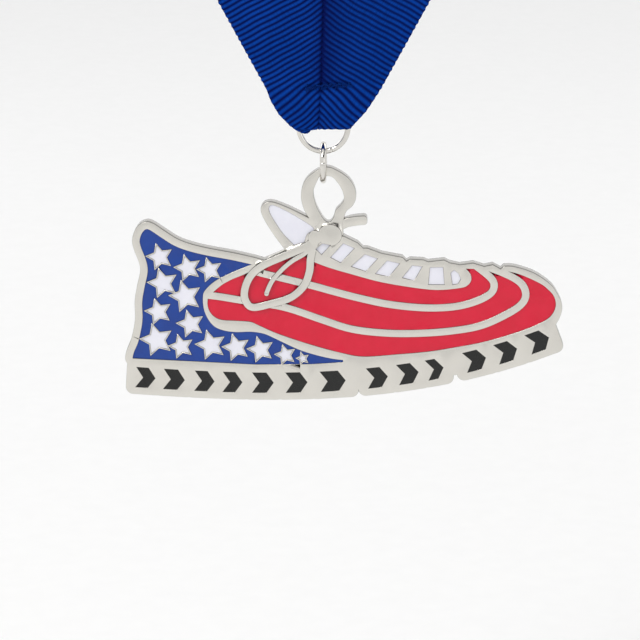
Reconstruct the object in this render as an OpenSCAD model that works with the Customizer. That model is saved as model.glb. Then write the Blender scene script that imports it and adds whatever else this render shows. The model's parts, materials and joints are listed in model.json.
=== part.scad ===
// Sports finisher medal: a die-struck plate in the shape of a lace-up shoe over a flag,
// soft enamel fills, two jump rings and a sewn neck ribbon whose spare length is folded up.
// X runs across the medal, -Y is its face, +Z is up. The origin is the hanging point,
// on top of the folded ribbon.

/* [Hanging] */
// Hanging point above the centre of the large ring
hang_drop = 57; // [50:0.5:70]

/* [Plate] */
// Thickness of the plate outside the raised laces
plate_t = 3; // [2.4:0.1:3.2]
// Depth of the enamel pockets
pocket_d = 0.7; // [0.4:0.1:1]
// How far the enamel stays below the metal lines
enamel_sink = 0.2; // [0.1:0.05:0.3]
// How far the bow and the knot stand proud of the face
lace_rise = 0.4; // [0.2:0.1:0.8]
// How much thinner the lace loop is at the back, so the ring clears the flat back
loop_relief = 0.3; // [0.1:0.1:0.6]
// Metal border around the flag
flag_border = 1.6; // [1.2:0.1:2]
// Width of the metal stripes between the red bands
stripe_w = 1.6; // [1.2:0.1:2]
// Width of the bow's metal band
bow_w = 1.6; // [1.2:0.1:1.8]
// Width of the lace end inside the bow
lace_end_w = 1; // [0.7:0.1:1.3]
// Metal rim around each star
star_rim = 0.3; // [0.2:0.05:0.4]
// Tilt of the stars
star_tilt = 15; // [0:1:30]
// Where the blue field stops along the sole
blue_end = 4.2; // [3:0.2:5]

/* [Caption row] */
// Height of the marks
mark_h = 4.3; // [3.6:0.1:4.6]
// Width of a mark's arm, as a share of its place in the row
mark_arm = 0.5; // [0.35:0.05:0.6]
// How far each arrowhead points forward
mark_point = 1.5; // [1:0.1:1.8]
// Metal margin around the marks
mark_margin = 1.55; // [1.2:0.05:1.8]

/* [Rings] */
// Outer diameter of the large jump ring
big_od = 11.25; // [10.5:0.25:12]
// Wire of the large jump ring
big_wire = 1.2; // [1:0.05:1.4]
// Outer diameter of the small jump ring
small_od = 8.75; // [8.5:0.25:9.5]
// Wire of the small jump ring
small_wire = 1.3; // [1:0.05:1.4]
// Play where rings and loop hang in one another
ring_play = 0.1; // [0.06:0.02:0.2]
// Saw cut where each jump ring opens
ring_cut = 0.15; // [0.1:0.05:0.3]

/* [Ribbon] */
// Width of the grosgrain ribbon
ribbon_w = 25; // [22:0.5:28]
// Thickness of a sewn ribbon layer
ribbon_t = 0.9; // [0.6:0.1:1.2]
// Angle of each leg from the vertical
leg_angle = 28.4; // [26:0.2:31]
// Half width of the ribbon's sewn point
point_half = 8.7; // [8:0.1:10]
// Height of the corner of the sewn point above the large ring's centre
point_rise = 2.7; // [2:0.1:4]
// Depth of the folded spare ribbon, front to back
fold_depth = 6.4; // [5:0.2:8]
// Width of the band that holds the folds
band_w = 12; // [8:0.5:16]
// Thickness of the band
band_t = 0.6; // [0.4:0.1:1]

/* [Hidden] */

nickel = "#d9d3c8";
blue = "#1f4b9f";
red = "#e0283f";
white = "#f0f0fa";
black = "#232624";
ribbon_blue = "#003996";
thread_blue = "#0a2f86";
band_blue = "#06245f";

spline_steps = 6;

// Plate planes, front to back
face_y = -plate_t / 2;
back_y = plate_t / 2;
floor_y = face_y + pocket_d;
enamel_y = face_y + enamel_sink;
lace_y = face_y - lace_rise;

// Rings: radii of the wire's centre line, and heights relative to the large ring's centre
big_r = (big_od - big_wire) / 2;
small_r = (small_od - small_wire) / 2;
small_z = -big_r + (big_wire + small_wire) / 2 + ring_play - small_r;
small_bore = small_r - small_wire / 2;
loop_hole_z = small_z - sqrt(small_bore ^ 2 - (plate_t / 2) ^ 2) + ring_play;

// Ribbon
layer_gap = big_wire / 2 + 0.4;
ribbon_front_y = -layer_gap - ribbon_t;
ribbon_back_y = layer_gap + ribbon_t;
leg_run = tan(leg_angle);
crotch_z = point_rise + (ribbon_w / cos(leg_angle) - point_half) / leg_run;
fold_top = hang_drop - band_t;
fold_low = fold_top - ribbon_w;
fold_half = point_half + (fold_low - point_rise) * leg_run;
corner_x = (fold_top - crotch_z) * leg_run;
band_half = min(band_w / 2, corner_x - ribbon_t - 0.5);
fold_y0 = -layer_gap + band_t;
tack_x = 0.9;
tack_z = 8.3;
tack_half = 4.6;
tack_h = 1.2;
tack_stand = 0.15;
turn_up_half = 5;
turn_up_z = 13;
tunnel_z = big_od / 2 + 0.7;

// ---- curves ----

// A point on the Catmull-Rom curve from b to c, with neighbours a and d
function curve_point(a, b, c, d, t) =
    0.5 * (2 * b + (c - a) * t + (2 * a - 5 * b + 4 * c - d) * t ^ 2
           + (3 * b - a - 3 * c + d) * t ^ 3);

// A smooth closed outline through the given points
function closed_curve(p, steps = spline_steps) =
    let (n = len(p))
    [for (i = [0:n - 1], k = [0:steps - 1])
        curve_point(p[(i + n - 1) % n], p[i], p[(i + 1) % n], p[(i + 2) % n], k / steps)];

// A smooth open line through the given points
function open_curve(p, steps = spline_steps) =
    let (n = len(p))
    concat([for (i = [0:n - 2], k = [0:steps - 1])
        curve_point(p[max(i - 1, 0)], p[i], p[i + 1], p[min(i + 2, n - 1)], k / steps)],
        [p[n - 1]]);

function reversed(p) = [for (i = [len(p) - 1:-1:0]) p[i]];

// Left-hand normal of an open line at point i
function normal_at(p, i) =
    let (d = p[min(i + 1, len(p) - 1)] - p[max(i - 1, 0)])
    [-d[1], d[0]] / norm(d);

// The line's two sides, w apart, as one outline
function band_outline(p, w) =
    concat([for (i = [0:len(p) - 1]) p[i] + normal_at(p, i) * w / 2],
           reversed([for (i = [0:len(p) - 1]) p[i] - normal_at(p, i) * w / 2]));

// Outlines and lines in the plate's plane, measured from the large ring's centre

flag_edge = concat(
    [[-14, -27.4], [-18.5, -26.4], [-23.5, -25.5], [-27.3, -24.6], [-30.2, -23.5],
     [-33, -21.7], [-35.1, -20.3], [-36.6, -19.9], [-38, -20.5], [-39.1, -22],
     [-39.6, -24], [-39.2, -26], [-38.3, -28.4], [-38, -30.5], [-38.7, -33.8],
     [-39.2, -37], [-39.2, -41], [-40, -45], [-41, -47.5], [-41.3, -49.5], [-40.5, -51]]);

// Far side of the shoe from the flag: heel and sole, as far as the flag's point
heel_edge = [[-12, -27.8], [-17.7, -30], [-22.1, -32.2], [-24.5, -34.4], [-25, -36],
             [-24.8, -38.5], [-23.9, -40.7], [-22.5, -42.3], [-20.5, -43.1], [-18, -43.4],
             [-15, -43.3], [-12.3, -43.7], [-9.8, -44.8], [-5.4, -46.9], [-1.8, -48.1],
             [2.2, -49], [6.2, -49.4]];

toe_edge = [[37.5, -28.8], [39.7, -28.9], [43.7, -30.2], [47.2, -32.6], [49, -35.2],
            [49.7, -37.3], [49.3, -39.5], [48, -42]];

// Scallops along the collar, where the lacing bumps
collar_edge = [[-3.3, -24], [0, -22.5], [4.3, -22.7], [7.2, -24.1], [8.3, -25.2], [9.2, -25.2],
               [12.2, -26.3], [16.5, -27.1], [17.3, -27.9], [18, -27.5], [20.8, -27.6],
               [21.8, -28], [25.1, -27.6], [26.3, -28.2], [28.4, -28.6], [31.1, -28.2],
               [33.4, -28.9], [35.2, -28.5], [36.8, -29.4]];

// Outer limit of the red bands: sole, toe and heel
red_low = [[-12, -28.9], [-16.3, -31], [-18.7, -32], [-20.7, -33.1], [-22.4, -34.5],
           [-23.8, -36], [-23.9, -38], [-23, -39.7], [-21.2, -40.7], [-18, -40.9],
           [-15.1, -41.1], [-13.4, -41.8], [-9.1, -43.7], [-2.2, -46], [3.8, -47.6],
           [8.4, -48.4], [15, -47.9], [22, -47.2], [27.8, -46.2], [33.6, -45],
           [39.5, -43.2], [44.1, -41.4], [47.1, -39.6], [48.3, -37.4], [48, -35.3],
           [46.7, -33.7], [44.6, -32.2], [39.7, -30.2], [34.5, -29.6], [29.7, -29.4]];
red_top = [[29.7, -29.4], [30.6, -30.5], [30.8, -31.7], [30.2, -32.8], [28.7, -33.5],
           [24, -34], [19.2, -33.6], [12, -32.4], [6, -30.8], [1.2, -29.4], [-3, -27.8]];

// Centre lines of the two metal stripes, heel to toe
lower_stripe = [[-27, -35.2], [-22, -35.7], [-17, -36.5], [-12, -37.2], [-7, -38.2],
                [0, -40.6], [6, -42.5], [13, -43.3], [20, -43.3], [27, -42.7],
                [33, -41.5], [38.3, -39], [41.3, -36.8], [42.1, -34.6], [41, -32.3],
                [37.8, -30.4], [33, -28.6]];
upper_stripe = [[-18, -29], [-13, -30.6], [-8, -31.8], [-2, -33.3], [2, -34.4],
                [7, -35.7], [13, -37], [19, -37.7], [24, -37.8], [28.6, -37.3],
                [32.6, -36], [35, -34.4], [35.5, -32.6], [34.5, -31], [31.5, -28.6]];

// The lace bow that hangs over the heel, along its centre line
bow_line = [[-1.4, -23.4], [-4.2, -25.2], [-8.2, -27], [-12.5, -29], [-15, -31.2], [-16.2, -34],
            [-16.1, -36.4], [-14.6, -37.9], [-11, -37.2], [-6.8, -35.8], [-4, -33.3],
            [-2.8, -30.2], [-2.5, -27], [-1.6, -23.6]];
lace_end = [[-2.4, -25], [-4, -26.5], [-6.3, -27.9], [-8.5, -29.8], [-10.5, -32.2],
            [-11.5, -34.3], [-11.7, -35]];

tongue_edge = [[0, -23], [-0.5, -20], [-3, -18.8], [-6.8, -16.9], [-10.2, -15.6], [-11.9, -15.7],
               [-12.8, -16.6], [-12.8, -17.8], [-12, -19.6], [-10, -22.8], [-7, -26.8]];
tongue_fill = [[-3.9, -24], [-3.3, -22.3], [-1.9, -21.1], [-5, -18.9], [-8, -17.2],
               [-10.4, -16.2], [-11.2, -16.8], [-10.6, -18.6], [-8.4, -22], [-6, -24.6]];

// The standing lace loop that carries the small ring, and its hole
loop_edge = [[-0.5, -22], [-3, -18.8], [-4.3, -16], [-4.5, -13.2], [-3.6, -10.8],
             [-1.6, -9], [0.7, loop_hole_z + 1.9], [2.9, -8.8], [5.1, -10.3], [6.5, -12.4],
             [6.8, -14.5], [6.1, -16.2], [4.7, -17.6], [4.2, -20], [4.2, -22.5]];
loop_hole = [[-0.6, loop_hole_z], [0.5, loop_hole_z], [1.9, loop_hole_z - 0.2],
             [3.3, -11.8], [4.1, -13.4],
             [4.3, -14.9], [3.7, -16], [2.6, -17.2], [2.2, -18.6], [1.4, -19.7],
             [0.3, -19.3], [-0.9, -17.4], [-1.7, -15.4], [-2, -13.2], [-small_wire, -11.2]];
loop_mid = [1.2, -14];
relief_r = 6.4;
lace_tail = [[2, -21.5], [4.5, -20], [6.5, -19.5], [8.4, -19.3]];
tail_w = 1.9;
knot_at = [1.4, -22.4];
knot_r = 2.5;
knot_side = [-1.6, -22.9];
knot_side_r = 1.5;

// Tops and bottoms of the white lacing windows
lace_windows = [
    [[-1.5, -25.4], [0, -24.2], [1.6, -24.5], [-0.3, -26.6]],
    [[1.6, -27.2], [4.2, -24.2], [6.5, -25.2], [3.7, -28.3]],
    [[5.9, -29.1], [8.7, -26.5], [11.3, -27.4], [8.9, -30.1]],
    [[10.9, -30.6], [13.3, -27.8], [15.9, -28.4], [13.7, -31.2]],
    [[16.5, -31.4], [18.5, -28.8], [20.6, -29], [18.9, -32]],
    [[21.9, -32.8], [22.2, -29.2], [24.9, -29.1], [25.2, -32.8]],
    [[26.5, -30.3], [27.2, -29.7], [28.1, -30.4], [28.6, -31.6], [28, -32.6], [26.9, -32.8]]];

// Stars: centre and tip radius
stars = [[-33.9, -27.4, 2.5], [-28.1, -29.7, 2.5], [-23.5, -30.1, 2.3], [-33.3, -33, 2.9],
         [-28.6, -35.8, 3.1], [-34.3, -39.1, 2.5], [-27.6, -41.7, 2.6], [-34.7, -45.2, 3.2],
         [-29.6, -46.6, 2.3], [-23.4, -46.2, 2.9], [-18.1, -46.7, 2.6], [-13, -47.1, 2.5],
         [-7.8, -48.2, 1.9], [-4.2, -48.95, 1]];
star_waist = 0.5;

// Caption row: middle and width of each mark along X
marks = [[-37.2, 5], [-31.2, 5.7], [-24.8, 5.1], [-18.9, 5], [-12.5, 5.8], [-5.4, 5.9],
         [2.3, 7.4], [11.7, 5.5], [18.2, 5.6], [23.9, 3.9], [32.4, 5.9], [39, 5.8],
         [45.7, 6]];
caption_low = -56.4;
caption_mid = -13;
caption_bow = 0.00185;
caption_lift = 0.000016;
caption_left = -39.8;
caption_right = 48;

function caption_y(u) =
    let (d = u - caption_mid)
    caption_low + caption_bow * d ^ 2 + caption_lift * d ^ 3;
function caption_slope(u) =
    let (d = u - caption_mid)
    atan(2 * caption_bow * d + 3 * caption_lift * d ^ 2);

// ---- placing ----

// Turns a flat shape upright and gives it depth between two planes
module upright(front, back) {
    translate([0, back, -hang_drop])
        rotate([90, 0, 0])
            linear_extrude(back - front)
                children();
}

module flat(points) {
    polygon(points);
}

// ---- plate shapes ----

module star_shape(r) {
    rotate(90 + star_tilt)
        polygon([for (i = [0:9]) let (s = i % 2 == 0 ? r : r * star_waist)
            [s * cos(36 * i), s * sin(36 * i)]]);
}

module star_pocket(i) {
    translate([stars[i][0], stars[i][1]])
        star_shape(stars[i][2]);
}

module star_rims() {
    for (s = stars)
        translate([s[0], s[1]])
            star_shape(s[2] + 2 * star_rim);
}

module shoe_shape() {
    flat(concat(open_curve(heel_edge),
                [[20, -49.5], [40, -45]],
                reversed(open_curve(toe_edge)),
                reversed(collar_edge)));
}

module flag_shape() {
    flat(concat(open_curve(flag_edge), [[-38, -52], [10, -52], [8, -40], [-5, -30]]));
}

module blue_shape() {
    difference() {
        offset(r = -flag_border)
            flat(concat(open_curve(flag_edge),
                        [[-42.5, -50.7], [-28, -51.3], [-14, -51.9], [-2, -51.7],
                         [6.2, -51.1], [9, -51], [9, -30], [-5, -30]]));
        shoe_shape();
        star_rims();
        translate([blue_end, -60]) square([20, 20]);
    }
}

module red_zone() {
    flat(concat(open_curve(red_low), open_curve(red_top)));
}

module stripe(line) {
    flat(band_outline(open_curve(line), stripe_w));
}

// Everything on the sole's side of a stripe
module below(line) {
    flat(concat(open_curve(line), [[33, -20], [60, -20], [60, -60], [-40, -60], [-40, -35]]));
}

module bow_outer() {
    offset(r = bow_w / 2)
        flat(open_curve(bow_line));
}

module bow_inner() {
    offset(r = -bow_w / 2)
        flat(open_curve(bow_line));
}

module lace_end_shape() {
    flat(band_outline(open_curve(lace_end), lace_end_w));
    translate(lace_end[len(lace_end) - 1])
        circle(d = lace_end_w, $fn = 24);
}

// What lies inside the bow, left of the lace end
module left_of_lace_end() {
    flat(concat(open_curve(lace_end), [[-11.7, -40], [-25, -40], [-25, -20], [-2.4, -20]]));
}

module red_outside() {
    difference() {
        intersection() {
            red_zone();
            union() children();
        }
        stripe(lower_stripe);
        stripe(upper_stripe);
        bow_outer();
    }
}

module toe_band_shape() {
    red_outside() below(lower_stripe);
}

module middle_zone() {
    difference() {
        below(upper_stripe);
        below(lower_stripe);
    }
}

module middle_band_shape() {
    red_outside()
        intersection() {
            middle_zone();
            translate([-9, -60]) square([70, 60]);
        }
}

module heel_shape() {
    red_outside()
        intersection() {
            middle_zone();
            translate([-40, -60]) square([25.5, 60]);
        }
}

module collar_band_shape() {
    red_outside()
        difference() {
            translate([-9, -60]) square([70, 60]);
            below(upper_stripe);
        }
}

module bow_left_shape() {
    difference() {
        intersection() {
            bow_inner();
            left_of_lace_end();
        }
        below(upper_stripe);
        stripe(upper_stripe);
        lace_end_shape();
    }
}

module bow_right_shape() {
    difference() {
        bow_inner();
        left_of_lace_end();
        below(upper_stripe);
        stripe(upper_stripe);
        lace_end_shape();
    }
}

module bow_lower_shape() {
    difference() {
        intersection() {
            bow_inner();
            below(upper_stripe);
        }
        stripe(upper_stripe);
        lace_end_shape();
    }
}

module tongue_shape() {
    flat(open_curve(tongue_fill));
}

module window_shape(i) {
    flat(lace_windows[i]);
}

// One broad arrowhead in the middle of a place w wide
module mark_shape(w) {
    arm = w * mark_arm;
    translate([-(arm + mark_point) / 2, 0])
        polygon([[0, 0], [arm, 0], [arm + mark_point, mark_h / 2], [arm, mark_h],
                 [0, mark_h], [mark_point, mark_h / 2]]);
}

module at_mark(m) {
    translate([m[0], caption_y(m[0])])
        rotate(caption_slope(m[0]))
            children();
}

module caption_mark_shape(i) {
    at_mark(marks[i])
        mark_shape(marks[i][1]);
}

module caption_row_shape() {
    offset(r = mark_margin, $fn = 24)
        for (m = marks)
            at_mark(m)
                translate([-m[1] / 2, 0])
                    square([m[1], mark_h]);
    flat(concat([for (u = [caption_left:(caption_right - caption_left) / 24:caption_right])
                    [u, caption_y(u)]],
                [for (k = [0:12]) let (u = caption_right - k * (caption_right - caption_left) / 12)
                    [u, caption_y(u) + mark_h + mark_margin]]));
}

module knot_shape() {
    translate(knot_at)
        scale([1, 0.92])
            circle(r = knot_r, $fn = 40);
    translate(knot_side)
        circle(r = knot_side_r, $fn = 32);
}

module lace_tail_shape() {
    offset(r = tail_w / 2 - 0.2, $fn = 24)
        flat(band_outline(open_curve(lace_tail), 0.4));
}

module plate_outline() {
    offset(delta = 0)
        difference() {
            union() {
                flag_shape();
                shoe_shape();
                flat(open_curve(tongue_edge));
                flat(open_curve(loop_edge));
                lace_tail_shape();
                knot_shape();
                caption_row_shape();
            }
            flat(closed_curve(loop_hole));
        }
}

module pockets() {
    blue_shape();
    for (i = [0:len(stars) - 1])
        star_pocket(i);
    toe_band_shape();
    middle_band_shape();
    collar_band_shape();
    heel_shape();
    bow_left_shape();
    bow_right_shape();
    bow_lower_shape();
    tongue_shape();
    for (i = [0:len(lace_windows) - 1])
        window_shape(i);
    for (i = [0:len(marks) - 1])
        caption_mark_shape(i);
}

// Bow and knot: the laces that lie on top of the shoe
module raised_laces() {
    offset(delta = 0)
        difference() {
            union() {
                difference() {
                    bow_outer();
                    bow_inner();
                }
                intersection() {
                    lace_end_shape();
                    bow_outer();
                }
                knot_shape();
            }
            flat(closed_curve(loop_hole));
            window_shape(0);
        }
}

module medal_plate() {
    color(nickel) {
        difference() {
            upright(face_y, back_y) plate_outline();
            upright(face_y - 1, floor_y) offset(delta = 0) pockets();
            upright(back_y - loop_relief, back_y + 1)
                translate(loop_mid)
                    circle(r = relief_r, $fn = 64);
        }
        upright(lace_y, face_y) raised_laces();
    }
}

// ---- enamel ----

module fill() {
    upright(enamel_y, floor_y) children();
}

module blue_enamel() {
    color(blue) fill() blue_shape();
}

module star(i) {
    color(white)
        fill() star_pocket(i);
}

module red_toe_band() {
    color(red) fill() toe_band_shape();
}

module red_middle_band() {
    color(red) fill() middle_band_shape();
}

module red_collar_band() {
    color(red) fill() collar_band_shape();
}

module red_heel() {
    color(red) fill() heel_shape();
}

module red_bow_left() {
    color(red) fill() bow_left_shape();
}

module red_bow_right() {
    color(red) fill() bow_right_shape();
}

module red_bow_lower() {
    color(red) fill() bow_lower_shape();
}

module tongue_enamel() {
    color(white) fill() tongue_shape();
}

module lace_window(i) {
    color(white) fill() window_shape(i);
}

module caption_mark(i) {
    color(black) fill() caption_mark_shape(i);
}

// ---- rings ----

// A wire ring about Z with a saw cut at +X
module jump_ring(r, wire) {
    sweep = ring_cut / r * 180 / PI;
    rotate(sweep / 2)
        rotate_extrude(angle = 360 - sweep, $fn = 96)
            translate([r, 0])
                circle(d = wire, $fn = 32);
}

module large_jump_ring() {
    color(nickel)
        translate([0, 0, -hang_drop])
            rotate([90, 0, 0])
                rotate(70)
                    jump_ring(big_r, big_wire);
}

module small_jump_ring() {
    color(nickel)
        translate([0, 0, small_z - hang_drop])
            rotate([0, 90, 0])
                rotate(100)
                    jump_ring(small_r, small_wire);
}

// ---- ribbon ----

// One leg, from the sewn point to the slanted corner fold that turns it level
module leg_shape(side) {
    scale([side, 1])
        flat([[0, 0], [point_half - 3.2, 0.1], [point_half, point_rise],
              [fold_half, fold_low], [corner_x, fold_top], [0, crotch_z]]);
}

// The corner fold itself, a narrow strip along the slant
module corner_shape(side) {
    scale([side, 1])
        flat([[fold_half, fold_low], [corner_x, fold_top], [corner_x - ribbon_t, fold_top],
              [fold_half - ribbon_t, fold_low]]);
}

// Ribbon that passes through the large ring
module pass_shape() {
    intersection() {
        circle(r = big_r - big_wire / 2 - 0.3, $fn = 48);
        translate([-big_r, -0.9]) square([2 * big_r, 2 * big_r]);
    }
}

module ribbon() {
    color(ribbon_blue)
        difference() {
            union() {
                for (side = [-1, 1]) {
                    upright(ribbon_front_y, -layer_gap) leg_shape(side);
                    upright(-layer_gap, fold_y0) corner_shape(side);
                }
                upright(-layer_gap, layer_gap) pass_shape();
                upright(-layer_gap, layer_gap)
                    translate([-turn_up_half, tunnel_z])
                        square([2 * turn_up_half, turn_up_z - tunnel_z]);
                upright(layer_gap, ribbon_back_y)
                    flat([[-3, -0.9], [3, -0.9], [turn_up_half, 2], [turn_up_half, turn_up_z],
                          [-turn_up_half, turn_up_z], [-turn_up_half, 2]]);
                // spare length, folded to and fro
                translate([-fold_half, fold_y0, -band_t - ribbon_w])
                    cube([2 * fold_half, fold_depth, ribbon_w]);
            }
            tack_block(0);
        }
}

module tack_block(stand) {
    translate([tack_x - tack_half, ribbon_front_y - stand, tack_z - hang_drop])
        cube([2 * tack_half, ribbon_back_y - ribbon_front_y + 2 * stand, tack_h]);
}

module bar_tack() {
    color(thread_blue) tack_block(tack_stand);
}

// Elastic band round the folds, behind the legs
module fold_band() {
    color(band_blue)
        difference() {
            translate([-band_half, fold_y0 - band_t, -ribbon_w - 2 * band_t])
                cube([2 * band_half, fold_depth + 2 * band_t, ribbon_w + 2 * band_t]);
            translate([-2 * band_half, fold_y0, -ribbon_w - band_t])
                cube([4 * band_half, fold_depth, ribbon_w]);
        }
}

medal_plate();
blue_enamel();
for (i = [1:14]) star(i - 1);
red_toe_band();
red_middle_band();
red_collar_band();
red_heel();
red_bow_left();
red_bow_right();
red_bow_lower();
tongue_enamel();
for (i = [1:7]) lace_window(i - 1);
for (i = [1:13]) caption_mark(i - 1);
large_jump_ring();
small_jump_ring();
ribbon();
bar_tack();
fold_band();
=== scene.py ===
"""Sports finisher medal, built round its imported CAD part. Lengths in the script are millimetres."""

import json
import math

import bmesh
import bpy
import numpy as np
from mathutils import Matrix, Vector


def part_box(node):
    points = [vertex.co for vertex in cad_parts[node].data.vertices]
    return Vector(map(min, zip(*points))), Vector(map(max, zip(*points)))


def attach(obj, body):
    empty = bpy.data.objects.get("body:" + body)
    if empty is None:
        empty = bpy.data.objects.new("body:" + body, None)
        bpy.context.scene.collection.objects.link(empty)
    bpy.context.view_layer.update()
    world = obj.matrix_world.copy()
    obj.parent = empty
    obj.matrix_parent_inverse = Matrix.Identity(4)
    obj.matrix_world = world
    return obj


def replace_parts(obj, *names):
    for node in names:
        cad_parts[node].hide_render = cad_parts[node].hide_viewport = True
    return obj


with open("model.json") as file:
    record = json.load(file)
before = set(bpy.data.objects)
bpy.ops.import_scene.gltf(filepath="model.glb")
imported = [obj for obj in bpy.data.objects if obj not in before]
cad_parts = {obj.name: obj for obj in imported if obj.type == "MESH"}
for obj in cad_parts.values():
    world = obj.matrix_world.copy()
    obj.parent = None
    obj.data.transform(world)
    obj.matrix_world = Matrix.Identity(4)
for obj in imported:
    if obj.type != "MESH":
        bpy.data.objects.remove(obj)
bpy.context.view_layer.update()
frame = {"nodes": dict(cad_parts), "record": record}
MM = 0.001

PLATE = "medal_plate"
RIBBON_BODY, LARGE_RING, SMALL_RING, MEDAL = "neck_ribbon", "large_ring", "small_ring", "medal"


def box_mm(node):
    """A CAD node's lowest and highest corner, in millimetres."""
    low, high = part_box(node)
    return np.array(low) / MM, np.array(high) / MM


RING_LOW, RING_HIGH = box_mm("large_jump_ring")
RING_Z = float(RING_LOW[2] + RING_HIGH[2]) / 2
RIBBON_HIGH = box_mm("ribbon")[1]
TACK_LOW, TACK_HIGH = box_mm("bar_tack")
BAND_LOW, BAND_HIGH = box_mm("fold_band")

# ---------------------------------------------------------------- camera, light, room

LENS = 200.0
SENSOR = 36.0
VIEW_WIDTH = 133.3
VIEW_CENTRE = (-0.6, -1.1, RING_Z - 40.7)
VIEW_AZIMUTH, VIEW_ELEVATION = 1.5, 14.5
VIEW_ROLL = 0.1

# Each light's azimuth and elevation in degrees, distance and size in metres, power and colour
LIGHTS = {
    "key": (-38, 50, 0.95, 0.4, 3.2, (1.0, 0.985, 0.96)),
    "fill": (50, 12, 1.1, 0.6, 0.5, (0.95, 0.97, 1.0)),
    "rear_left": (-140, 35, 1.1, 0.7, 1.5, (1, 1, 1)),
    "rear_right": (140, 35, 1.1, 0.7, 1.5, (1, 1, 1)),
}
ROOM_LIGHT = 0.93
FLOOR_Z, FLOOR_RADIUS = -230.0, 9000.0
DARK_BAND_RADIUS, DARK_BAND_LOW, DARK_BAND_HIGH = 1300.0, 900.0, 1650.0


def direction(azimuth, elevation):
    """Unit vector from the object towards a camera or a light."""
    a, e = math.radians(azimuth), math.radians(elevation)
    return Vector((math.sin(a) * math.cos(e), -math.cos(a) * math.cos(e), math.sin(e)))


def aimed(obj, place, target):
    obj.location = place
    obj.rotation_mode = "QUATERNION"
    obj.rotation_quaternion = (Vector(target) - Vector(place)).to_track_quat("-Z", "Y")


def add_object(name, data):
    obj = bpy.data.objects.new(name, data)
    bpy.context.scene.collection.objects.link(obj)
    return obj


def make_camera():
    data = bpy.data.cameras.new("camera")
    data.lens, data.sensor_width = LENS, SENSOR
    data.clip_start, data.clip_end = 0.01, 20.0
    camera = add_object("camera", data)
    target = Vector(VIEW_CENTRE) * MM
    distance = VIEW_WIDTH * MM * LENS / SENSOR
    aimed(camera, target + direction(VIEW_AZIMUTH, VIEW_ELEVATION) * distance, target)
    roll = Matrix.Rotation(math.radians(VIEW_ROLL), 3, "Z").to_quaternion()
    camera.rotation_quaternion = camera.rotation_quaternion @ roll
    bpy.context.scene.camera = camera


def area_light(name, azimuth, elevation, distance, size, power, colour):
    data = bpy.data.lights.new(name, "AREA")
    data.shape, data.size, data.energy, data.color = "DISK", size, power, colour
    light = add_object(name, data)
    target = Vector(VIEW_CENTRE) * MM
    aimed(light, target + direction(azimuth, elevation) * distance, target)


def make_lights():
    for name, values in LIGHTS.items():
        area_light(name, *values)
    world = bpy.data.worlds.new("room_light")
    bpy.context.scene.world = world
    world.use_nodes = True
    background = world.node_tree.nodes["Background"]
    background.inputs["Color"].default_value = (1.0, 1.0, 1.0, 1)
    background.inputs["Strength"].default_value = ROOM_LIGHT


def circle_points(radius, z, count):
    """Points in metres round a level circle about the Z axis."""
    angles = [2 * math.pi * k / count for k in range(count)]
    return [(radius * math.cos(a) * MM, radius * math.sin(a) * MM, z * MM) for a in angles]


def make_room():
    """A plain pale floor, far wider than any view of it."""
    turns = 96
    verts = circle_points(FLOOR_RADIUS, FLOOR_Z, turns)
    mesh = bpy.data.meshes.new("floor")
    mesh.from_pydata(verts, [], [tuple(range(turns))])
    mesh.materials.append(paper("pale_paper", (0.93, 0.93, 0.93)))
    add_object("floor", mesh)


def make_dark_band():
    """A dark band high above the views, which polished metal reflects as thin dark edge lines."""
    turns = 64
    verts = (circle_points(DARK_BAND_RADIUS, DARK_BAND_LOW, turns)
             + circle_points(DARK_BAND_RADIUS, DARK_BAND_HIGH, turns))
    faces = [(k, (k + 1) % turns, turns + (k + 1) % turns, turns + k) for k in range(turns)]
    mesh = bpy.data.meshes.new("dark_band")
    mesh.from_pydata(verts, [], faces)
    mesh.materials.append(paper("dark_paper", (0.03, 0.03, 0.032)))
    add_object("dark_band", mesh)


# ---------------------------------------------------------------- materials


# Depths between which the painted shade, a dark line at the front of the plate's walls, fades
FRONT_LINE_START, FRONT_LINE_END = -1.45, -0.5


def scaled(colour, share):
    return tuple(c * share for c in colour)


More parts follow.
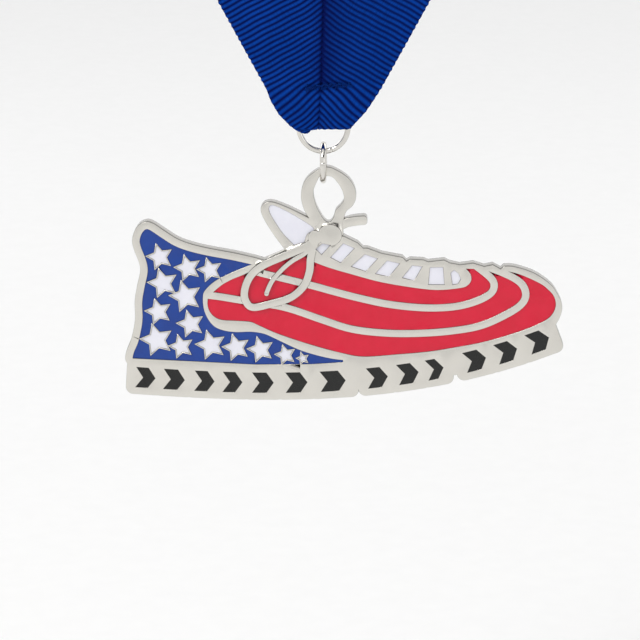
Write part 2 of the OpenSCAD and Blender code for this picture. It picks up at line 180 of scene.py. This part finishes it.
class Graph:
    """Short calls for building a material's nodes."""

    def __init__(self, name):
        self.material = bpy.data.materials.new(name)
        self.material.use_nodes = True
        self.tree = self.material.node_tree
        self.shader = self.tree.nodes["Principled BSDF"]

    def set(self, **values):
        for key, value in values.items():
            socket = self.shader.inputs[key.replace("_", " ").title().replace("Ior", "IOR")]
            socket.default_value = (*value, 1) if isinstance(value, tuple) else value
        return self

    def node(self, kind, links=None, **values):
        made = self.tree.nodes.new(kind)
        for key, value in values.items():
            setattr(made, key, value)
        for key, value in (links or {}).items():
            socket = made.inputs[key]
            if isinstance(value, bpy.types.NodeSocket):
                self.tree.links.new(value, socket)
            else:
                socket.default_value = value
        return made

    def to_shader(self, key, output):
        self.tree.links.new(output, self.shader.inputs[key])

    def place(self):
        return self.node("ShaderNodeTexCoord").outputs["Object"]

    def noise(self, size, detail=2.0, vector=None, rough=0.5):
        """Noise with features of about that size in millimetres."""
        links = {"Scale": 1 / (size * MM), "Detail": detail, "Roughness": rough,
                 "Vector": vector or self.place()}
        return self.node("ShaderNodeTexNoise", links).outputs["Fac"]

    def remap(self, value, low, high, from_low=0.3, from_high=0.7):
        return self.node("ShaderNodeMapRange", {
            "Value": value, "From Min": from_low, "From Max": from_high,
            "To Min": low, "To Max": high}).outputs["Result"]

    def mix(self, factor, a, b):
        made = self.node("ShaderNodeMix", data_type="RGBA")
        sockets = [s for s in made.inputs if s.enabled]
        for socket, value in zip(sockets, (factor, a, b)):
            if isinstance(value, bpy.types.NodeSocket):
                self.tree.links.new(value, socket)
            else:
                socket.default_value = (*value, 1) if isinstance(value, tuple) else value
        return next(s for s in made.outputs if s.enabled)

    def bump(self, height, depth, strength=1.0, under=None):
        """Bump of that depth in millimetres."""
        links = {"Height": height, "Distance": depth * MM, "Strength": strength}
        if under is not None:
            links["Normal"] = under
        return self.node("ShaderNodeBump", links).outputs["Normal"]

    def attribute(self, name, output="Fac"):
        return self.node("ShaderNodeAttribute", attribute_name=name).outputs[output]


def paper(name, base):
    """Plain paper with a little tooth."""
    g = Graph(name).set(roughness=0.95, specular_ior_level=0.1)
    grain = g.noise(6, 4)
    g.to_shader("Base Color", g.mix(g.remap(grain, 0, 1), base, scaled(base, 0.985)))
    g.to_shader("Normal", g.bump(grain, 0.05, 0.2))
    return g.material


def nickel(name, base, shade, rough_low, rough_high, grain=0.18, dent=0.006):
    """Plated metal: cloudy tone, uneven polish, a fine struck texture, and painted shade that darkens
    its walls.
    """
    g = Graph(name).set(metallic=1.0)
    cloud = g.noise(5.5, 5)
    tone = g.mix(g.remap(cloud, 0, 1), base, shade)
    # Painted shade: faces marked by the wall mask are painted darker, most of all in a line at their
    # front edge.
    depth = g.node("ShaderNodeSeparateXYZ", {"Vector": g.place()}).outputs["Y"]
    front_line = g.remap(depth, 1, 0.35, FRONT_LINE_START * MM, FRONT_LINE_END * MM)
    walls = g.node("ShaderNodeMath", {0: g.attribute("wall"), 1: front_line},
                   operation="MULTIPLY").outputs["Value"]
    painted_wall_shade = g.mix(g.remap(cloud, 0, 1), scaled(base, 0.16), scaled(shade, 0.12))
    g.to_shader("Base Color", g.mix(walls, tone, painted_wall_shade))
    g.to_shader("Roughness", g.remap(g.noise(1.3, 6, rough=0.65), rough_low, rough_high))
    fine = g.bump(g.noise(grain, 3), 0.0012, 0.5)
    g.to_shader("Normal", g.bump(g.noise(2.6, 2), dent, 0.4, fine))
    return g.material


def enamel(name, base, shade, roughness=0.16):
    """Soft enamel: glossy, slightly uneven, with an orange-peel surface, and painted shade darkening
    its rim where it meets the metal.
    """
    g = Graph(name).set(coat_weight=0.3, coat_roughness=0.06, ior=1.5,
                        specular_ior_level=0.3)
    cloud = g.noise(3.2, 4)
    tone = g.mix(g.remap(cloud, 0, 1), base, shade)
    # Painted shade: the enamel is painted darker at its rim, in the crease against the metal.
    painted_rim_shade = g.mix(g.remap(cloud, 0, 1), scaled(base, 0.42), scaled(shade, 0.36))
    g.to_shader("Base Color", g.mix(g.remap(g.attribute("rim"), 0, 1, 0.1, 1.0), tone, painted_rim_shade))
    g.to_shader("Roughness", g.remap(g.noise(0.9, 5), roughness * 0.8, roughness * 1.7))
    peel = g.bump(g.noise(0.45, 3), 0.003, 0.45)
    g.to_shader("Normal", g.bump(g.noise(2.2, 2), 0.012, 0.4, peel))
    return g.material


def cloth(name, crown, painted_groove_shade, thread_across, thread_along, sheen=0.1):
    """Woven cloth: painted shade darkens its grooves, with the separate threads running along the
    weave.
    """
    g = Graph(name).set(roughness=0.75, sheen_weight=sheen, sheen_roughness=0.5,
                        sheen_tint=crown, specular_ior_level=0.05)
    weave = g.attribute("weave", "Vector")
    threads = g.node("ShaderNodeMapping", {
        "Vector": weave, "Scale": (1 / thread_along, 1 / thread_across, 1)}).outputs["Vector"]
    strands = g.node("ShaderNodeTexNoise", {
        "Vector": threads, "Scale": 1.0, "Detail": 3.0, "Roughness": 0.6}).outputs["Fac"]
    patch = g.noise(9, 3)
    lit = g.mix(g.remap(strands, 0, 1), crown, scaled(crown, 0.62))
    faded = g.mix(g.remap(patch, 0, 0.35), lit, tuple(min(1, c * 1.25 + 0.004) for c in crown))
    # Painted shade: where the rise mask is low, in the grooves between ribs and in the painted seam
    # shadow, the colour goes dark.
    depth = g.remap(g.attribute("rise"), 0, 1, 0.12, 0.95)
    g.to_shader("Base Color", g.mix(depth, painted_groove_shade, faded))
    g.to_shader("Normal", g.bump(strands, 0.05, 0.75))
    return g.material


def sewing_thread(name, base, shade):
    """Sewing thread, its tone uneven from twist to twist."""
    g = Graph(name).set(roughness=0.65, specular_ior_level=0.06)
    twist = g.noise(0.16, 3)
    g.to_shader("Base Color", g.mix(g.remap(twist, 0, 1), base, shade))
    g.to_shader("Normal", g.bump(twist, 0.03, 0.7))
    return g.material


# ---------------------------------------------------------------- mesh helpers


def at(u, v, y):
    """Places in metres from u across and v above the large ring's centre, and y, all in mm."""
    u, v, y = np.broadcast_arrays(u, v, y)
    return np.stack([u, y, v + RING_Z], -1) * MM


def cross_normals(mid):
    """Unit normals of a grid of points."""
    along = np.gradient(mid, axis=1)
    across = np.gradient(mid, axis=0)
    normal = np.cross(along, across)
    return normal / np.maximum(np.linalg.norm(normal, axis=-1, keepdims=True), 1e-12)


def slab(mid, front, back, weave, rise, normal=None):
    """A closed shell about a grid of points. front and back are how far it stands off, in mm."""
    rows, cols = mid.shape[:2]
    count = rows * cols
    normal = cross_normals(mid) if normal is None else normal
    front = np.broadcast_to(front, (rows, cols))[..., None] * MM
    back = np.broadcast_to(back, (rows, cols))[..., None] * MM
    verts = np.concatenate([(mid + normal * front).reshape(-1, 3),
                            (mid - normal * back).reshape(-1, 3)])
    k = np.arange(count).reshape(rows, cols)
    top = np.stack([k[:-1, :-1], k[:-1, 1:], k[1:, 1:], k[1:, :-1]], -1).reshape(-1, 4)
    rim = np.concatenate([k[0, :-1], k[:-1, -1], k[-1, :0:-1], k[:0:-1, 0]])
    after = np.roll(rim, -1)
    walls = np.stack([after, rim, rim + count, after + count], -1)
    faces = np.concatenate([top, top[:, ::-1] + count, walls])
    weaves = np.tile(np.broadcast_to(weave, (rows, cols, 2)).reshape(-1, 2), (2, 1))
    rises = np.tile(np.broadcast_to(rise, (rows, cols)).ravel(), 2)
    return verts, faces, weaves, rises


def joined(parts):
    """Several shells as one set of vertices, faces and attributes, all facing outwards."""
    verts, faces, weaves, rises, start = [], [], [], [], 0
    for v, f, w, r in parts:
        centre = v.mean(0)
        local = v - centre
        a, b, c, d = (local[f[:, i]] for i in range(4))
        volume = (np.einsum("ij,ij->i", a, np.cross(b, c)).sum()
                  + np.einsum("ij,ij->i", a, np.cross(c, d)).sum())
        faces.append((f if volume > 0 else f[:, ::-1]) + start)
        verts.append(v)
        weaves.append(w)
        rises.append(r)
        start += len(v)
    return tuple(np.concatenate(x) for x in (verts, faces, weaves, rises))


def cloth_piece(name, parts, material, body):
    verts, faces, weave, rise = joined(parts)
    mesh = bpy.data.meshes.new(name)
    mesh.from_pydata(verts.tolist(), [], faces.tolist())
    spread = np.column_stack([weave, np.zeros(len(weave))]).astype(np.float32)
    mesh.attributes.new("weave", "FLOAT_VECTOR", "POINT").data.foreach_set(
        "vector", spread.ravel())
    mesh.attributes.new("rise", "FLOAT", "POINT").data.foreach_set(
        "value", rise.astype(np.float32))
    return finished(name, mesh, material, body)


def finished(name, mesh, material, body, sharp=50):
    mesh.shade_smooth()
    mesh.set_sharp_from_angle(angle=math.radians(sharp))
    mesh.materials.append(material)
    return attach(add_object(name, mesh), body)


# How far a tube's narrowed ends reach past its points and how wide they are, per radius
END_REACH, END_SHARE = 0.6, 0.45


def lengths(path):
    """Distance along a path at each of its points."""
    return np.concatenate([[0], np.cumsum(np.linalg.norm(np.diff(path, axis=0), axis=1))])


def tube(points, radius, sides):
    """A closed round tube along points in metres, narrowed at both ends."""
    points = np.asarray(points, float)
    tangent = np.gradient(points, axis=0)
    tangent /= np.maximum(np.linalg.norm(tangent, axis=1, keepdims=True), 1e-12)
    side = np.cross(tangent, [0.31, 0.9, 0.27])
    side /= np.linalg.norm(side, axis=1, keepdims=True)
    up = np.cross(side, tangent)
    angles = np.linspace(0, 2 * math.pi, sides, endpoint=False)
    outward = np.cos(angles)[:, None] * side[:, None] + np.sin(angles)[:, None] * up[:, None]
    first = points[0] - tangent[0] * radius * END_REACH + outward[0] * radius * END_SHARE
    last = points[-1] + tangent[-1] * radius * END_REACH + outward[-1] * radius * END_SHARE
    rings = [first, *(points[:, None] + outward * radius), last]
    verts = np.concatenate(rings)
    faces = []
    for row in range(len(rings) - 1):
        a, b = row * sides, (row + 1) * sides
        faces += [(a + k, a + (k + 1) % sides, b + (k + 1) % sides, b + k) for k in range(sides)]
    faces.append(tuple(range(sides))[::-1])
    faces.append(tuple(len(verts) - sides + k for k in range(sides)))
    return verts, faces


def add_tubes(name, tubes, material, body):
    verts, faces, start = [], [], 0
    for v, f in tubes:
        verts.append(v)
        faces += [tuple(i + start for i in face) for face in f]
        start += len(v)
    mesh = bpy.data.meshes.new(name)
    mesh.from_pydata(np.concatenate(verts).tolist(), [], faces)
    return finished(name, mesh, material, body, 70)


# ---------------------------------------------------------------- plate, enamel, rings

WELD = 0.002
PLATE_ROUND = 0.11
STRUCK_ANGLE = 40
LEVEL = 0.01
RING_CUT = 0.15
# How far an enamel's rim reaches inwards, and how far it climbs
FILL_RIM = (0.13, 0.08)
RIMS = {"red_enamel": (0.32, 0.13), "blue_enamel": (0.05, 0.04)}


def clean_copy(node):
    """A bmesh of a CAD node with its doubled points welded."""
    bm = bmesh.new()
    bm.from_mesh(frame["nodes"][node].data)
    bmesh.ops.remove_doubles(bm, verts=bm.verts, dist=WELD * MM)
    bmesh.ops.recalc_face_normals(bm, faces=bm.faces)
    return bm


def plate_piece(material):
    """The struck plate, the edges of its front and back rounded over."""
    bm = clean_copy(PLATE)
    sharp = [e for e in bm.edges
             if len(e.link_faces) == 2 and e.is_convex
             and e.calc_face_angle(0) > math.radians(STRUCK_ANGLE)
             and abs((e.verts[0].co - e.verts[1].co).y) < LEVEL * MM]
    bmesh.ops.bevel(bm, geom=sharp, offset=PLATE_ROUND * MM, segments=3, profile=0.5,
                    affect="EDGES", clamp_overlap=False)
    # The wall mask marks the side walls, which the nickel material paints darker as painted shade.
    wall = bm.faces.layers.float.new("wall")
    for face in bm.faces:
        face.normal_update()
        face[wall] = float(smooth(1 - abs(face.normal.y), 0.1, 0.5))
    mesh = bpy.data.meshes.new("struck_plate")
    bm.to_mesh(mesh)
    bm.free()
    piece = finished("struck_plate", mesh, material, MEDAL, 28)
    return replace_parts(piece, PLATE)


def fill_piece(node, slot, material):
    """One enamel fill: it climbs a little where it meets the metal, as it does when it sets."""
    bm = clean_copy(node)
    front = [f for f in bm.faces if f.normal.y < -0.9]
    rim = {v for f in front for v in f.verts}
    reach, climb = RIMS.get(slot, FILL_RIM)
    bmesh.ops.inset_region(bm, faces=front, thickness=reach * MM,
                           use_even_offset=True, use_boundary=True)
    for v in rim:
        if v.is_valid and any(f.normal.y > -0.9 for f in v.link_faces):
            v.co.y -= climb * MM
    mesh = bpy.data.meshes.new(node + "_fill")
    # The rim mask marks the fill's edge, which the enamel material paints darker as painted shade.
    edge = bm.verts.layers.float.new("rim")
    for v in rim:
        if v.is_valid:
            v[edge] = 1.0
    bm.to_mesh(mesh)
    bm.free()
    piece = finished(node + "_fill", mesh, material, MEDAL, 35)
    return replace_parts(piece, node)


def ring_piece(node, name, axis, cut_degrees, material, body):
    """A polished wire ring with its saw cut, along the CAD ring's centre line."""
    low, high = box_mm(node)
    centre = (low + high) / 2
    wire = (high - low)[axis]
    radius = ((high - low)[2] - wire) / 2
    gap = RING_CUT / 2 / radius
    turns = np.linspace(gap, 2 * math.pi - gap, 145) + math.radians(cut_degrees)
    points = np.tile(centre, (len(turns), 1))
    points[:, 0 if axis == 1 else 1] += radius * np.cos(turns)
    points[:, 2] += radius * np.sin(turns)
    piece = add_tubes(name, [tube(points * MM, wire / 2 * MM, 28)], material, body)
    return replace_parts(piece, node)


def make_medal():
    plate_piece(nickel("nickel_plate", (0.70, 0.68, 0.63), (0.66, 0.64, 0.595), 0.16, 0.24))
    blue = enamel("blue_enamel", (0.002, 0.045, 0.29), (0.001, 0.036, 0.25))
    red = enamel("red_enamel", (0.66, 0.004, 0.034), (0.61, 0.003, 0.028))
    white = enamel("white_enamel", (0.79, 0.79, 0.86), (0.75, 0.75, 0.83))
    black = enamel("black_enamel", (0.004, 0.005, 0.004), (0.002, 0.002, 0.002), 0.2)
    paint = {"blue_enamel": blue, "red_enamel": red, "white_enamel": white,
             "black_enamel": black}
    for row in frame["record"]["subparts"]:
        if row["material_slot"] in paint:
            fill_piece(row["node"], row["material_slot"], paint[row["material_slot"]])
    wire = nickel("ring_wire", (0.72, 0.70, 0.66), (0.66, 0.64, 0.60), 0.06, 0.12, 0.1, 0.003)
    ring_piece("large_jump_ring", "large_ring_wire", 1, -70, wire, LARGE_RING)
    ring_piece("small_jump_ring", "small_ring_wire", 0, 170, wire, SMALL_RING)


# ---------------------------------------------------------------- ribbon

RIB_PITCH = 1.08
LEG_ANGLE = math.radians(28.4)
LEG_SLOPE = math.tan(LEG_ANGLE)
CROTCH_V = 39.2
FOLD_LOW_V, FOLD_TOP_V = RIBBON_HIGH[2] - 25.0 - RING_Z, RIBBON_HIGH[2] - RING_Z
FOLD_HALF = RIBBON_HIGH[0]
CORNER_U = (FOLD_TOP_V - CROTCH_V) * LEG_SLOPE
CORNER_RUN = (FOLD_HALF - CORNER_U) / (FOLD_TOP_V - FOLD_LOW_V)
LEG_Y, FLAP_Y = -1.52, -1.16
LAYERS = 15
PITCH = 0.42
FOLD_Y0 = -0.38
CORNER_GAP = 0.2
# Half thickness of the ribbon between its ribs
WEB = 0.10
# Height of each leg's foot, and a point on the straight part of its outer edge
LEG_FOOT = {-1: -1.0, 1: -0.15}
EDGE_U, EDGE_V = 8.7, 2.7


def smooth(x, low, high):
    t = np.clip((x - low) / (high - low), 0, 1)
    return t * t * (3 - 2 * t)


def rib(phase):
    """Height of a grosgrain rib, 0 in the groove and 1 on its crown."""
    return (0.5 - 0.5 * np.cos(2 * math.pi * phase)) ** 0.75


def wander(u, v, seed):
    """Slow unevenness from -1 to 1, the same on every run."""
    return (np.sin(u * 0.37 + seed) * np.cos(v * 0.29 - seed * 1.7)
            + 0.6 * np.sin(u * 0.83 - v * 0.61 + seed * 2.3)) / 1.6


# Outline of the sewn point: how far each leg reaches out at a height
LEFT_EDGE = [(-1.0, 4.2), (0.5, 6.8), (2.9, 9.1), (6.0, 10.9), (9.0, 12.2)]
RIGHT_EDGE = [(-0.15, 4.9), (0.2, 5.7), (2.0, 7.3), (3.6, 8.7), (5.7, 10.1), (9.0, 12.0)]
SEAM = [(-1.0, -3.1), (-0.3, -2.6), (0.0, -1.0), (7.0, -0.6), (27.0, 0.0)]


def curve(points, v):
    """A value read off (height, value) points."""
    heights, values = zip(*points)
    return np.interp(v, heights, values)


def seam_u(v):
    return curve(SEAM, v)


def leg_phase(reach, v, side):
    """Rib count along a leg. The ribs rise to the seam and crowd together in the sewn point."""
    tip = 1 - smooth(v, -1, 9.5)
    steep = 5 * (1 - np.exp(-reach / 5))
    out = (reach + 0.95 * tip * steep) * math.sin(LEG_ANGLE)
    up = (v * (1 + 0.18 * tip) - 0.9 * np.exp(-reach / 3) * (1 - tip)) * math.cos(LEG_ANGLE)
    return (out + up) / RIB_PITCH + 0.10 * wander(reach, v, 1.3 + side)


def slant_u(v, radius):
    """Where the corner fold starts to bend, for a fold of that radius."""
    return (FOLD_HALF - (v - FOLD_LOW_V) * CORNER_RUN
            - radius * math.hypot(1, CORNER_RUN) - CORNER_GAP)


def straight_edge(v):
    return EDGE_U + (v - EDGE_V) * LEG_SLOPE


def leg_outer(v, side, radius):
    edge = straight_edge(v) + 0.07 * np.cos(v * 5.1)
    tip = curve(LEFT_EDGE if side < 0 else RIGHT_EDGE, v)
    edge = tip + (edge - tip) * smooth(v, 5.5, 9.0)
    return np.minimum(edge, slant_u(v, radius))


def leg_parts(side, radius):
    """A visible leg, as a shell with real ribs, and the round of its corner fold."""
    v = np.arange(LEG_FOOT[side], FOLD_TOP_V - 0.35, 0.165)
    inner = np.where(v < CROTCH_V, side * seam_u(v), (v - CROTCH_V) * LEG_SLOPE)
    outer = leg_outer(v, side, radius)
    share = np.linspace(0, 1, 66)
    share = share - 0.055 * np.sin(2 * math.pi * share)
    reach = inner[:, None] + (outer - inner)[:, None] * share
    height = np.broadcast_to(v[:, None], reach.shape)
    from_seam = reach - side * seam_u(height)
    below_crotch = height < CROTCH_V
    phase = leg_phase(np.where(below_crotch, from_seam, reach), height, side)
    rise = rib(phase)
    tip = 1 - smooth(height, 0, 9)
    # The leg sinks into the seam, rolls back at its edge and foot, and puckers at the bar tack
    y = LEG_Y + 0.12 * wander(reach, height, side) * (1 - tip)
    y = y + 0.34 * np.exp(-(from_seam / 0.34) ** 2) * below_crotch
    y = y + 0.16 * np.exp(-((outer[:, None] - reach) / 0.35) ** 2)
    bottom = height - LEG_FOOT[side]
    y = y + 0.55 * np.exp(-(bottom / 0.5) ** 2) + 0.25 * tip * (
        np.sin(reach * 1.25 + side) * 0.5 - 0.3)
    y = y + 0.22 * np.exp(-((height - 8.9 - 0.1 * side * reach) / 0.8) ** 2) * (reach < 5.2)
    mid = at(side * reach, height, y)
    weave = np.stack([phase * RIB_PITCH, reach * math.cos(LEG_ANGLE)
                      - height * math.sin(LEG_ANGLE)], -1)
    facing = cross_normals(mid)
    facing *= np.sign(-facing[..., 1:2])
    # Painted shadow beside the seam, where the left leg stands over the right: darker, most of all on
    # the right leg
    shade = 0.5 if side < 0 else 0.72
    depth = 1.6 if side < 0 else 3.2
    shadow = 1 - shade * np.exp(-from_seam / depth) * below_crotch * smooth(height, 7, 10)
    # Painted shade: a narrow dark line in the seam's crease.
    shadow = shadow - 0.55 * np.exp(-(from_seam / 0.45) ** 2) * below_crotch
    # tone, the rib height times the painted shadow, goes out as the cloth's rise mask.
    tone = rise * np.clip(shadow, 0, 1)
    parts = [slab(mid, WEB + 0.22 * rise, WEB + 0.07 * rise, weave, tone, facing)]
    folded = np.flatnonzero(outer < straight_edge(v) - 0.3)
    folded = folded[v[folded] > FOLD_LOW_V - 2]
    parts.append(corner_part(side, radius, v[folded], outer[folded]))
    return parts


def corner_part(side, radius, v, start):
    """The half round where a leg turns back behind itself."""
    turn = np.linspace(0, math.pi, 13)
    away = np.array([1, CORNER_RUN]) / math.hypot(1, CORNER_RUN)
    out = radius * np.sin(turn)
    u = start[:, None] + out * away[0]
    height = v[:, None] + out * away[1]
    y = LEG_Y + radius * (1 - np.cos(turn)) + 0 * u
    phase = leg_phase(start[:, None] + radius * turn * 0.45, v[:, None] + 0 * turn, side)
    rise = rib(phase)
    mid = at(side * u, height, y)
    normal = np.stack([side * away[0] * np.sin(turn) + 0 * u, -np.cos(turn) + 0 * u,
                       away[1] * np.sin(turn) + 0 * u], -1)
    weave = np.stack([phase * RIB_PITCH, height], -1)
    return slab(mid, WEB + 0.12 * rise, WEB + 0.05 * rise, weave, rise, normal)


def flap_part(side):
    """The part of a leg that is turned back behind the seam."""
    v = np.arange(8.2, CROTCH_V - 0.3, 0.21)
    outer = np.minimum((CROTCH_V - v) * LEG_SLOPE, 8.2 + (v - 2.7) * LEG_SLOPE)
    inner = side * seam_u(v) + 0.25
    reach = inner[:, None] + (outer - inner)[:, None] * np.linspace(0, 1, 40)
    height = np.broadcast_to(v[:, None], reach.shape)
    phase = (-reach * math.sin(LEG_ANGLE) + height * math.cos(LEG_ANGLE)) / RIB_PITCH
    rise = rib(phase)
    mid = at(side * reach, height, FLAP_Y + 0.02 * wander(reach, height, 4))
    normal = np.zeros(mid.shape)
    normal[..., 1] = 1
    weave = np.stack([phase * RIB_PITCH, reach], -1)
    return slab(mid, 0.08 + 0.09 * rise, 0.09, weave, rise, normal)


def turn_up_part():
    """The ribbon's bottom, taken through the large ring and up behind it to the bar tack."""
    radius, near, low = 1.42, 1.05, 1.35
    front = [(-near, v) for v in np.arange(4.0, low, -0.2)]
    under = [(-(near if t < math.pi / 2 else radius) * math.cos(t), low - radius * math.sin(t))
             for t in np.linspace(0, math.pi, 26)]
    behind = [(radius, v) for v in np.arange(low + 0.2, 12.9, 0.2)]
    path = np.array(front + under + behind)
    length = lengths(path)
    share = np.linspace(-1, 1, 45)
    widths = 4.0 + 0.95 * smooth(path[:, 1], 1.5, 7)
    widths[: len(front)] = 4.0
    u = share * widths[:, None] + 0.2 * (1 - smooth(path[:, 1], 2, 8))[:, None]
    phase = length[:, None] / RIB_PITCH + 0.05 * wander(u, length[:, None], 2)
    rise = rib(phase)
    normal = np.zeros((*u.shape, 3))
    tangent = np.gradient(path, axis=0)
    tangent /= np.linalg.norm(tangent, axis=1, keepdims=True)
    normal[..., 1], normal[..., 2] = tangent[:, None, 1], -tangent[:, None, 0]
    pleat = 0.13 * np.sin(share * 9.5) * (1 - 0.6 * smooth(path[:, 1], 2, 9))[:, None]
    mid = at(u, path[:, None, 1], path[:, None, 0]) + normal * pleat[..., None] * MM
    weave = np.stack([phase * RIB_PITCH, u], -1)
    return slab(mid, 0.09 + 0.12 * rise, 0.09 + 0.05 * rise, weave, rise, normal)


def layer_y(number):
    return FOLD_Y0 + (number - 0.5) * PITCH


def strand(stops, side, seed):
    """Spare ribbon folded to and fro. stops are (layer, where it turns back) after its start."""
    path = []
    heading = -side
    u = side * FOLD_HALF
    for k, (layer, end) in enumerate(stops):
        path += [(x, layer_y(layer)) for x in spaced(u, end)]
        u = end
        if k + 1 < len(stops):
            after = stops[k + 1][0]
            radius = (layer_y(after) - layer_y(layer)) / 2
            middle = layer_y(layer) + radius
            path += [(end + heading * radius * math.sin(t), middle - radius * math.cos(t))
                     for t in np.linspace(0, math.pi, 9)[1:-1]]
        heading = -heading
    path = np.array(path)
    length = lengths(path)
    rows = np.linspace(0, 1, 4)
    v = FOLD_LOW_V + 0.05 + (FOLD_TOP_V - FOLD_LOW_V - 0.1) * rows
    first = FOLD_HALF - slant_u(v, 0.5)
    skip = np.clip(first[:, None] * (1 - length / first.max()), 0, None) * (
        length < first.max()) * 1.0
    x = path[:, 0] - side * skip
    shift = 0.16 * np.sin(length / 31 + seed) + 0.1 * np.sin(length / 7.3 + seed * 2)
    height = v[:, None] + shift * smooth(length, 20, 60)
    tangent = np.gradient(path, axis=0)
    tangent /= np.maximum(np.linalg.norm(tangent, axis=1, keepdims=True), 1e-9)
    normal = np.zeros((len(v), len(path), 3))
    normal[..., 0], normal[..., 1] = tangent[:, 1], -tangent[:, 0]
    phase = (length + skip) / RIB_PITCH
    rise = rib(phase)
    mid = at(x, height, path[:, 1])
    weave = np.stack(np.broadcast_arrays(phase * RIB_PITCH, v[:, None]), -1)
    return slab(mid, 0.13 + 0.065 * rise, 0.13 + 0.065 * rise, weave, rise, normal)


def spaced(start, end, step=0.19):
    return np.linspace(start, end, max(2, int(abs(end - start) / step)))


def fold_stops():
    """The two strands: the right one doubles back inside the corner, then both fold together."""
    outer = FOLD_HALF - 1.5 * PITCH - 0.25
    right, left = [(1, -(CORNER_U - 1.3)), (2, outer)], [(3, outer)]
    sign, layer = -1, 4
    strands = [left, right]
    while layer < LAYERS:
        strands[0].append((layer, sign * outer))
        strands[1].append((layer + 1, sign * outer))
        strands.reverse()
        sign, layer = -sign, layer + 2
    return left, right


def make_ribbon(material):
    left, right = fold_stops()
    parts = []
    for side, first_layer in ((-1, 3), (1, 1)):
        parts += leg_parts(side, (layer_y(first_layer) - LEG_Y) / 2)
        parts.append(flap_part(side))
    parts += [turn_up_part(), strand(left, -1, 0.4), strand(right, 1, 1.9)]
    piece = cloth_piece("neck_ribbon_cloth", parts, material, RIBBON_BODY)
    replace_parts(piece, "ribbon")
    return piece


def make_tack(material):
    """Bar tack: a bed of slanting stitches across both faces, with a few loose ends."""
    draw = np.random.default_rng(7)
    tubes = []
    low, high = TACK_LOW, TACK_HIGH
    middle_v = (low[2] + high[2]) / 2 - RING_Z
    for face, lean in ((-1, 1), (1, -1)):
        surface = low[1] + 0.25 if face < 0 else high[1] - 0.22
        for u in np.arange(low[0] + 0.15, high[0] - 0.1, 0.34):
            slope = 0.1 * (u - (low[0] + high[0]) / 2)
            wild = draw.uniform(-0.22, 0.22, 4)
            t = np.linspace(-1, 1, 9)
            x = u + 0.26 * lean * t + wild[0] * 0.5
            z = middle_v + slope + t * (0.42 + wild[1] * 1.1) + wild[2] * 1.3
            y = surface + face * (0.18 * np.sqrt(np.clip(1 - t ** 2, 0, 1)) + wild[3] * 0.3)
            tubes.append(tube(at(x, z, y), 0.09 * MM, 8))
        for k in range(5):
            t = np.linspace(0, 1, 15)
            start = low[0] + 0.4 + k * 1.85
            x = start + t * (1.6 + draw.uniform(-0.3, 0.4))
            z = middle_v + 0.1 * (x - 0.9) + draw.uniform(-0.35, 0.35) + 0.12 * np.sin(t * 7 + k)
            y = surface + face * (0.34 + 0.05 * np.sin(t * 9))
            tubes.append(tube(at(x, z, y), 0.11 * MM, 8))
    piece = add_tubes("bar_tack_stitches", tubes, material, RIBBON_BODY)
    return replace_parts(piece, "bar_tack")


def make_band(material):
    """Elastic band round the folds, woven in fine cords along its length."""
    low, high = BAND_LOW, BAND_HIGH
    thick = 0.3
    y0, y1 = low[1] + thick, high[1] - thick
    z0, z1 = low[2] + thick - RING_Z, high[2] - thick - RING_Z
    r, path = 0.55, []
    corners = [(y0 + r, z0 + r, 180), (y1 - r, z0 + r, 270), (y1 - r, z1 - r, 0),
               (y0 + r, z1 - r, 90)]
    for yc, zc, start in corners:
        path += [(yc + r * math.cos(math.radians(start + a)),
                  zc + r * math.sin(math.radians(start + a))) for a in range(0, 91, 15)]
    path = np.array(path + path[:1])
    steps = []
    for a, b in zip(path[:-1], path[1:]):
        n = max(1, int(np.linalg.norm(b - a) / 0.25))
        steps += [a + (b - a) * k / n for k in range(n)]
    path = np.array(steps + steps[:1])
    tangent = np.gradient(path, axis=0)
    tangent[0] = tangent[-1] = path[1] - path[-2]
    tangent /= np.linalg.norm(tangent, axis=1, keepdims=True)
    length = lengths(path)
    half = (high[0] - low[0]) / 2
    u = np.linspace(-half, half, 97)[None, :]
    rise = 0.75 * rib(u) + 0.25 * rib(length[:, None] / 0.62 + 0.5 * np.floor(u))
    normal = np.zeros((len(path), u.shape[1], 3))
    normal[..., 1], normal[..., 2] = tangent[:, None, 1], -tangent[:, None, 0]
    mid = at(u, path[:, None, 1], path[:, None, 0])
    weave = np.stack(np.broadcast_arrays(length[:, None], u), -1)
    part = slab(mid, 0.14 + 0.14 * rise, 0.2, weave, rise, normal)
    piece = cloth_piece("elastic_band", [part], material, RIBBON_BODY)
    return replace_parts(piece, "fold_band")


def make_soft_goods():
    ribbon = make_ribbon(cloth("blue_grosgrain", (0.0, 0.046, 0.33), (0.0, 0.004, 0.070),
                               0.24, 2.6))
    thread = sewing_thread("blue_thread", (0.0, 0.030, 0.22), (0.0, 0.004, 0.05))
    make_tack(thread)
    band = make_band(cloth("blue_elastic", (0.002, 0.024, 0.15), (0.0, 0.006, 0.045),
                           0.3, 0.5))


# ---------------------------------------------------------------- scene


bpy.context.scene.view_settings.view_transform = "Standard"
make_camera()
make_lights()
make_room()
make_dark_band()
make_medal()
make_soft_goods()
